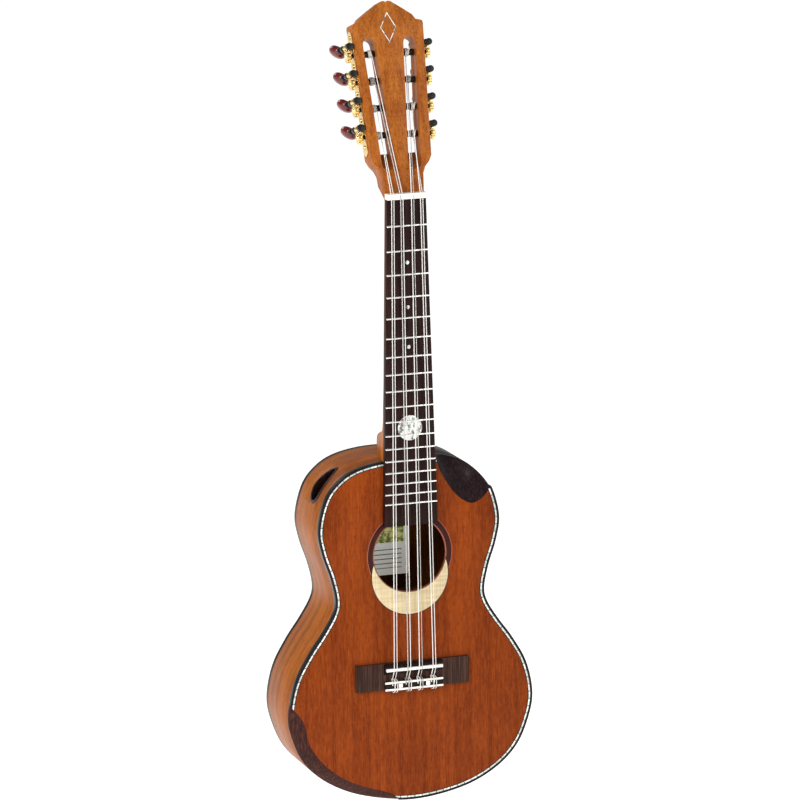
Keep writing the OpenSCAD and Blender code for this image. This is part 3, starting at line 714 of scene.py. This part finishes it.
class UKULELE_OT_sides(bpy.types.Operator):
    """Bent sides, back, port rim, bindings and pearl line"""
    bl_idname = "ukulele.sides"
    bl_label = "Sides and back"

    def execute(self, context):
        body = context.scene.ukulele_body
        path = edge_path()
        side = wood("side wood", body.side_light, body.side_dark, pores=0.7, gloss=0.36, coat=0.02,
                    follows_side=True, fine=0.8, veneer=True)
        back = wood("back wood", body.side_light, body.side_dark, pores=0.7, gloss=0.36, coat=0.05,
                    matched=True)
        black = smooth_stuff("black binding", (0.004, 0.003, 0.003), (0.008, 0.006, 0.005), 0.26,
                             2 * MM, coat=0.05, shine=0.15)
        finish_edge_node("side_rim", "sides", side, 0.1 * MM, path)
        board = finish_node("back_plate", "back", back, 0.15 * MM)
        # The back's inner face gets the same wood at four tenths of its colour: painted shade for the body's
        # dark inside.
        board.data.materials.append(wood("back inside painted shade", [0.4 * c for c in body.side_light],
                                         [0.4 * c for c in body.side_dark], pores=0.7, gloss=0.6))
        for face in board.data.polygons:
            if face.normal.y < -0.5:
                face.material_index = 1
        finish_edge_node("bindings", "edge_bindings", black, body.edge_round, path, 3)
        finish_edge_node("pearl_purfling", "pearl_line", pearl("pearl strips", body.pearl_step),
                         0.1 * MM, path)
        rim = dark_wood("port rim wood", (0.008, 0.003, 0.003), (0.03, 0.012, 0.010), 0.22, 0.12)
        finish_node("sound_port_ring", "port_rim", rim, 0.35 * MM, segments=3)
        return {"FINISHED"}


class UKULELE_OT_rests(bpy.types.Operator):
    """Armrest and cutaway bevel"""
    bl_idname = "ukulele.rests"
    bl_label = "Armrest and bevel"

    def execute(self, context):
        rest = dark_wood("armrest wood", (0.018, 0.004, 0.003), (0.080, 0.020, 0.012), 0.34, 0.05)
        finish_node("armrest", "armrest_wood", rest, 1.2 * MM, segments=4, smooth=50)
        scoop = dark_wood("bevel wood", (0.008, 0.004, 0.005), (0.035, 0.015, 0.017), 0.24, 0.15)
        finish_node("cutaway_bevel", "bevel_wood", scoop, 0.8 * MM, segments=3, smooth=50)
        return {"FINISHED"}


class UKULELE_OT_inside(bpy.types.Operator):
    """Linings, blocks, braces and label inside the body"""
    bl_idname = "ukulele.inside"
    bl_label = "Inside"

    def execute(self, context):
        spruce = wood("inner wood", (0.20, 0.10, 0.045), (0.09, 0.04, 0.018), pores=0.3, gloss=0.6)
        for node, name in (("linings", "kerfed_linings"), ("end_blocks", "neck_and_tail_blocks"),
                           ("top_braces", "soundboard_braces"), ("back_braces", "back_bars")):
            finish_node(node, name, spruce, 0.5 * MM)
        paper = label_paper("label paper", *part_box("paper_label"))
        finish_node("paper_label", "label", paper, 0.0)
        return {"FINISHED"}


# ---------------------------------------------------------------- Neck

class UKULELE_OT_neck(bpy.types.Operator):
    """Neck with heel and slotted headstock, and the heel cap"""
    bl_idname = "ukulele.neck"
    bl_label = "Neck"

    def execute(self, context):
        neck = context.scene.ukulele_neck
        timber = wood("neck wood", neck.light, neck.dark, pores=0.75, gloss=0.38, coat=0.04, matched=True)
        finish_node("neck", "neck_and_headstock", timber, neck.edge_round,
                    segments=3, smooth=45)
        cap = dark_wood("heel cap wood", (0.015, 0.006, 0.005), (0.06, 0.022, 0.016))
        finish_node("heel_cap", "heel_cap_wood", cap, 0.3 * MM)
        return {"FINISHED"}


class UKULELE_OT_fretboard(bpy.types.Operator):
    """Fretboard, frets, pearl inlays and nut"""
    bl_idname = "ukulele.fretboard"
    bl_label = "Fretboard"

    def execute(self, context):
        neck = context.scene.ukulele_neck
        streak = [min(1.0, 4.5 * c) for c in neck.board]
        board = dark_wood("fretboard wood", neck.board, streak, 0.42, 0.0, 0.8)
        finish_node("fretboard", "fretboard_wood", board, 0.25 * MM)
        wire = smooth_stuff("fret wire", (0.80, 0.79, 0.76), (0.88, 0.87, 0.85), 0.18, metallic=0.9)
        finish_node("frets", "fret_wire", wire, 0.15 * MM)
        finish_node("pearl_inlays", "pearl_dots", pearl("pearl shell", veins=0.9), 0.05 * MM)
        bone = smooth_stuff("nut bone", (0.84, 0.81, 0.72), (0.90, 0.88, 0.82), 0.30, 2 * MM, coat=0.2)
        finish_node("nut", "nut_bone", bone, 0.3 * MM)
        return {"FINISHED"}


# Only the top of the bridge's raised block lies further forward than this
BLOCK_TOP = -3.8 * MM


class UKULELE_OT_bridge(bpy.types.Operator):
    """Bridge, saddle and bone trim"""
    bl_idname = "ukulele.bridge"
    bl_label = "Bridge"

    def execute(self, context):
        timber = dark_wood("bridge wing wood", (0.022, 0.009, 0.006), (0.090, 0.042, 0.028), 0.45, 0.0)
        bridge = finish_node("bridge", "bridge_wood", timber, 0.5 * MM)
        self.black_block(bridge)
        bone = smooth_stuff("saddle bone", (0.84, 0.81, 0.72), (0.92, 0.90, 0.84), 0.28, 2 * MM, coat=0.25)
        finish_node("saddle", "saddle_bone", bone, 0.4 * MM, segments=3)
        finish_node("bridge_trim", "tie_trim", bone, 0.15 * MM)
        return {"FINISHED"}

    def black_block(self, bridge):
        """The raised centre of the bridge is capped with black wood."""
        cap = dark_wood("bridge block wood", (0.006, 0.003, 0.003), (0.025, 0.010, 0.008), 0.34, 0.05)
        bridge.data.materials.append(cap)
        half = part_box("bridge_trim")[1].x + 0.1 * MM
        for face in bridge.data.polygons:
            if abs(face.center.x) < half and face.center.y < BLOCK_TOP:
                face.material_index = 1


# ---------------------------------------------------------------- Strings

# Places of the wound strings, counted from 0 at the bass side
WOUND = (2, 5)

# A coil's radius without the string, its steps to a turn, and its rise in string radii to a turn
ROLLER_RADIUS = 3.0 * MM
TURN_STEPS = 18
TURN_RISE = 2.15

# Where a cut tail goes from the end of its coil, in millimetres
TAIL = ((0.3, -0.4, 1.6), (0.9, 0.3, 3.4))


def tied_end(start, tie, radius):
    """The string's end: out of the tie hole, over the block, and tucked under itself."""
    x, back, front = start.x, start.z + 2 * MM, tie.z
    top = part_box("bridge")[0].y - radius - 0.35 * MM
    step = 2.2 * radius
    out_of_the_hole = [
        Vector((x, start.y, back + 1.0 * MM)),
        Vector((x, start.y, back - 1.3 * MM)),
        Vector((x + 0.3 * step, (start.y + top) / 2, back - 1.9 * MM)),
    ]
    over_the_block = [
        Vector((x + step, top, back - 0.2 * MM)),
        Vector((x + 1.2 * step, top, (back + front) / 2)),
        Vector((x + 1.2 * step, top + 0.1 * MM, front - 0.9 * MM)),
    ]
    under_the_string = [
        Vector((x + 0.9 * step, start.y - 1.6 * MM, front + 0.4 * MM)),
        Vector((x - 0.1 * step, start.y + 1.4 * radius, front + 1.0 * MM)),
        Vector((x - 1.1 * step, start.y - 1.2 * MM, front + 0.7 * MM)),
    ]
    back_over_the_block = [
        Vector((x - 1.3 * step, top, front - 1.0 * MM)),
        Vector((x - 1.2 * step, top - 0.1 * MM, front - 4.2 * MM)),
    ]
    return eased_route(out_of_the_hole + over_the_block + under_the_string + back_over_the_block, 6)


def winding(k, end, radius, turns):
    """The coil of string round roller k, and its cut tail."""
    place = tuner_place(k)
    local = place.inverted() @ end
    reach = ROLLER_RADIUS + radius
    points = []
    for n in range(TURN_STEPS * turns + 1):
        turn = 2 * math.pi * n / TURN_STEPS
        x = local.x + TURN_RISE * radius * n / TURN_STEPS
        points.append(Vector((x, -reach * math.cos(turn), reach * math.sin(turn))))
    last = points[-1]
    for x, y, z in TAIL:
        points.append(last + Vector((x * MM, y * MM, z * MM)))
    return [(place @ p, radius) for p in points]


def nearest_tuner(rollers, end):
    """The tuner on the string's own side whose roller lies closest to the string's end."""
    own_side = [k for k in TUNERS if rollers[k].translation.x * end.x >= 0]
    return min(own_side, key=lambda k: abs((rollers[k].inverted() @ end).z))


class UKULELE_OT_strings(bpy.types.Operator):
    """Eight strings with their knots at the bridge and their turns on the rollers"""
    bl_idname = "ukulele.strings"
    bl_label = "Strings"

    def execute(self, context):
        strings = context.scene.ukulele_strings
        nylon = smooth_stuff("nylon string", strings.nylon, [0.9 * c for c in strings.nylon], 0.22,
                             4 * MM, coat=0.2, clear=0.15)
        wound = wound_string("wound string", strings.wound)
        routes = string_routes()
        for kind, material, chosen in (("plain_strings", nylon, [n for n in range(8) if n not in WOUND]),
                                       ("wound_strings", wound, list(WOUND))):
            lines = []
            for n in chosen:
                centres, radius = routes[n]
                lines.append([(p, radius) for p in centres[1:]])
                knot = tied_end(centres[0], centres[1], radius)
                lines.append([(p, radius) for p in reversed(knot)])
                lines[-1] += [(centres[1], radius)]
            tube(kind, lines, material, replaces=("strings",))
        rollers = {k: tuner_place(k) for k in TUNERS}
        for n, (centres, radius) in enumerate(routes):
            end = centres[-1]
            near = nearest_tuner(rollers, end)
            material = wound if n in WOUND else nylon
            tube(f"string_turns_{near}", [winding(near, end, radius, strings.turns)], material,
                 body=f"tuner_{near}_roller")
        return {"FINISHED"}


# ---------------------------------------------------------------- Tuners

# Places of the plate's face and screws, measured from the middle of a tuner's gear
PLATE_FACE = -3.85 * MM
SCREW_BELOW = -9.4 * MM
SCREW_ABOVE = 16.5 * MM

# Radius, height and slot of a plate screw's head, and how many radians its slot turns from tuner to tuner
SCREW_HEAD = (1.9 * MM, 1.2 * MM, 0.5 * MM)
SCREW_TURN = 0.9

# A button's half width, its half length as a share of the frame's button, how full its cheeks are,
# how far it is pinched in, and its lean in degrees
BUTTON_HALF = 8.1 * MM
BUTTON_SHARE = 0.44
BUTTON_FULL = 0.82
BUTTON_PINCH = 0.30
BUTTON_LEAN = 40

# Outline of a collar: distance from its axis and height along it, in millimetres
COLLAR = (
    (1.6, -2.6), (2.7, -2.5), (3.0, -2.1), (2.2, -1.5),
    (2.9, -0.8), (3.2, 0.2), (3.0, 1.4), (1.6, 1.6),
)

# How far a collar stands from the inner end of the frame's button
COLLAR_RISE = 1.2 * MM


def button_mesh(k, thick):
    """An oval button, full in the middle and pinched in where it meets its collar."""
    place = tuner_place(k)
    worm = Vector(JOINTS[f"button_{k}_turn"]["pos_m"])
    axis = Vector(JOINTS[f"button_{k}_turn"]["axis"]).normalized()
    inverse = place.inverted()
    reach = [(inverse @ v.co).y for v in frame["nodes"][f"button_{k}"].data.vertices]
    start, end = min(reach), max(reach)
    half_length = (end - start) * BUTTON_SHARE
    middle = worm + axis * (end - half_length)
    bm = bmesh.new()
    bmesh.ops.create_uvsphere(bm, u_segments=40, v_segments=24, radius=1.0)
    for v in bm.verts:
        x, y, z = v.co
        waist = 1.0 - BUTTON_PINCH * max(0.0, -z) ** 2.5
        cheek = math.copysign(abs(y) ** BUTTON_FULL, y)
        v.co = (BUTTON_HALF * x * waist, thick / 2 * cheek * waist, half_length * z)
    turn = math.radians(BUTTON_LEAN)
    outward = 1 if worm.x > 0 else -1
    side = place.to_3x3() @ Vector((outward * math.cos(turn), 0, -math.sin(turn)))
    across = axis.cross(side)
    stand = Matrix((side, across, axis)).transposed().to_4x4()
    stand.translation = middle
    bmesh.ops.transform(bm, matrix=stand, verts=bm.verts)
    bmesh.ops.recalc_face_normals(bm, faces=bm.faces)
    return bm, worm, axis, stand, start


def collar_mesh(stand, worm, axis, start):
    """A turned black collar between the button and the shaft."""
    bm = bmesh.new()
    verts = [bm.verts.new((r * MM, 0, z * MM)) for r, z in COLLAR]
    edges = [bm.edges.new(pair) for pair in zip(verts, verts[1:])]
    edges.append(bm.edges.new((verts[-1], verts[0])))
    bmesh.ops.spin(bm, geom=verts + edges, cent=(0, 0, 0), axis=(0, 0, 1), angle=2 * math.pi,
                   steps=28, use_merge=True)
    bmesh.ops.recalc_face_normals(bm, faces=bm.faces)
    place = stand.copy()
    place.translation = worm + axis * (start + COLLAR_RISE)
    bmesh.ops.transform(bm, matrix=place, verts=bm.verts)
    return bm


class UKULELE_OT_tuners(bpy.types.Operator):
    """Plates, screws, bearings, rollers, gears, worms and buttons"""
    bl_idname = "ukulele.tuners"
    bl_label = "Tuners"

    def execute(self, context):
        tuners = context.scene.ukulele_tuners
        gold = smooth_stuff("gold plate", tuners.gold, [0.82 * c for c in tuners.gold], 0.20,
                            6 * MM, metallic=1.0)
        resin = smooth_stuff("button resin", tuners.button, [0.3 * c for c in tuners.button], 0.12,
                             4 * MM, coat=0.25, clear=0.12)
        black = smooth_stuff("black nylon", (0.004, 0.004, 0.004), (0.010, 0.009, 0.009), 0.30,
                             2 * MM, shine=0.25)
        finish_node("tuner_plates", "side_plates", gold, 0.3 * MM, segments=3)
        finish_node("worm_bearings", "bearing_blocks", black, 0.9 * MM, segments=4)
        self.plate_screws(gold)
        for k in TUNERS:
            roller_body, worm_body = f"tuner_{k}_roller", f"tuner_{k}_worm"
            finish_node(f"roller_{k}", f"string_roller_{k}", black, 0.25 * MM, roller_body)
            finish_node(f"gear_{k}", f"tuner_gear_{k}", gold, 0.12 * MM, roller_body)
            finish_node(f"worm_{k}", f"tuner_worm_{k}", gold, 0.0, worm_body, smooth=60)
            bm, worm, axis, stand, start = button_mesh(k, tuners.cheek)
            finish_piece(f"tuner_button_{k}", bm, resin, worm_body, (f"button_{k}",), 60)
            finish_piece(f"button_collar_{k}", collar_mesh(stand, worm, axis, start), black,
                         worm_body)
        return {"FINISHED"}

    def plate_screws(self, gold):
        """Domed slotted heads in place of the plain ones, one for each screw."""
        bm = bmesh.new()
        for k in TUNERS:
            drops = (SCREW_BELOW, SCREW_ABOVE) if k % 4 == 0 else (SCREW_BELOW,)
            for drop in drops:
                stand = tuner_place(k) @ Matrix.Translation((PLATE_FACE, 0, drop))
                turned = stand @ Matrix.Rotation(math.radians(90), 4, "Y")
                slotted_head(bm, *SCREW_HEAD, turned @ Matrix.Rotation(SCREW_TURN * k, 4, "Z"))
        finish_piece("plate_screw_set", bm, gold, "root", ("plate_screws",))


# ---------------------------------------------------------------- Stage

# Half the floor's width in metres
FLOOR_HALF = 60

# Each lamp's name, place in metres, diameter in metres and power in watts
LAMPS = (
    ("key", (-2.4, -2.0, 1.3), 1.4, 95),
    ("fill", (1.9, -2.8, 0.9), 1.8, 26),
    ("rim", (-1.2, 1.8, 1.4), 1.2, 22),
)

# The point that every lamp faces
LAMP_AIM = Vector((0, 0, -0.2))

# Strength of the surroundings' light, and how much brighter the camera sees them
WORLD_LIGHT = 0.36
WORLD_SEEN = 0.66


class UKULELE_OT_stage(bpy.types.Operator):
    """Floor, soft lights and the camera"""
    bl_idname = "ukulele.stage"
    bl_label = "Stage"

    def execute(self, context):
        stage = context.scene.ukulele_stage
        scene = context.scene
        scene.view_settings.view_transform = "Standard"
        self.floor(stage)
        self.lights()
        self.camera(stage)
        return {"FINISHED"}

    def floor(self, stage):
        bm = bmesh.new()
        bmesh.ops.create_grid(bm, x_segments=8, y_segments=8, size=FLOOR_HALF)
        bmesh.ops.translate(bm, verts=bm.verts, vec=(0, 0, cad_box[0].z - stage.drop))
        mesh = bpy.data.meshes.new("floor")
        bm.to_mesh(mesh)
        bm.free()
        material, tree = blank("floor paper")
        tone = cloud(tree, object_place(tree), (0.4, 0.4, 0.4), 3.0)
        pale = full(stage.floor)
        surface = put(tree, "ShaderNodeBsdfPrincipled", {
            "Base Color": blend(tree, tone, full([0.98 * c for c in stage.floor]), pale),
            "Roughness": 0.9,
            "Specular IOR Level": 0.1,
            "Emission Color": pale,
            "Emission Strength": 0.75,
        })
        close(tree, surface)
        mesh.materials.append(material)
        floor = bpy.data.objects.new("floor", mesh)
        bpy.context.scene.collection.objects.link(floor)

    def lights(self):
        world = bpy.data.worlds.new("studio")
        world.use_nodes = True
        tree = world.node_tree
        background = tree.nodes["Background"]
        background.inputs["Color"].default_value = (1, 1, 1, 1)
        seen = put(tree, "ShaderNodeLightPath").outputs["Is Camera Ray"]
        strength = calc(tree, "MULTIPLY_ADD", seen, WORLD_SEEN, WORLD_LIGHT)
        tree.links.new(strength, background.inputs["Strength"])
        bpy.context.scene.world = world
        for name, place, size, power in LAMPS:
            lamp = bpy.data.lights.new(name, "AREA")
            lamp.shape = "DISK"
            lamp.size = size
            lamp.energy = power
            light = bpy.data.objects.new(name, lamp)
            light.location = place
            aim = LAMP_AIM - Vector(place)
            light.rotation_euler = aim.to_track_quat("-Z", "Y").to_euler()
            bpy.context.scene.collection.objects.link(light)

    def camera(self, stage):
        a, e, roll = stage.azimuth, stage.elevation, stage.roll
        back = Vector((math.sin(a) * math.cos(e), -math.cos(a) * math.cos(e), math.sin(e)))
        right = Vector((0, 0, 1)).cross(back).normalized()
        up = back.cross(right)
        leaned_right = math.cos(roll) * right + math.sin(roll) * up
        leaned_up = math.cos(roll) * up - math.sin(roll) * right
        place = Matrix((leaned_right, leaned_up, back)).transposed().to_4x4()
        place.translation = Vector(stage.aim) + back * stage.distance
        view = bpy.data.cameras.new("camera")
        view.lens = stage.lens
        view.sensor_width = 36
        view.clip_end = 200
        camera = bpy.data.objects.new("camera", view)
        camera.matrix_world = place
        bpy.context.scene.collection.objects.link(camera)
        bpy.context.scene.camera = camera


# ---------------------------------------------------------------- Panel and start

STEPS = (
    UKULELE_OT_stage,
    UKULELE_OT_soundboard,
    UKULELE_OT_sides,
    UKULELE_OT_rests,
    UKULELE_OT_inside,
    UKULELE_OT_neck,
    UKULELE_OT_fretboard,
    UKULELE_OT_bridge,
    UKULELE_OT_strings,
    UKULELE_OT_tuners,
)


class UKULELE_PT_panel(bpy.types.Panel):
    """Lists the steps that build the ukulele"""
    bl_label = "Eight-String Ukulele"
    bl_idname = "UKULELE_PT_panel"
    bl_space_type = "VIEW_3D"
    bl_region_type = "UI"
    bl_category = "Ukulele"

    def draw(self, context):
        column = self.layout.column(align=True)
        for step in STEPS:
            column.operator(step.bl_idname)
        for name in SETTINGS:
            group = getattr(context.scene, name)
            box = self.layout.box()
            for key in group.__annotations__:
                box.prop(group, key)


SETTINGS = {
    "ukulele_body": UkuleleBodySettings,
    "ukulele_neck": UkuleleNeckSettings,
    "ukulele_strings": UkuleleStringSettings,
    "ukulele_tuners": UkuleleTunerSettings,
    "ukulele_stage": UkuleleStageSettings,
}


def register():
    for kind in (*SETTINGS.values(), *STEPS, UKULELE_PT_panel):
        bpy.utils.register_class(kind)
    for name, kind in SETTINGS.items():
        setattr(bpy.types.Scene, name, PointerProperty(type=kind))


def unregister():
    for name in SETTINGS:
        delattr(bpy.types.Scene, name)
    for kind in (UKULELE_PT_panel, *reversed(STEPS), *reversed(SETTINGS.values())):
        bpy.utils.unregister_class(kind)


def main():
    register()
    for step in STEPS:
        group, name = step.bl_idname.split(".")
        getattr(getattr(bpy.ops, group), name)()


if __name__ == "__main__":
    main()
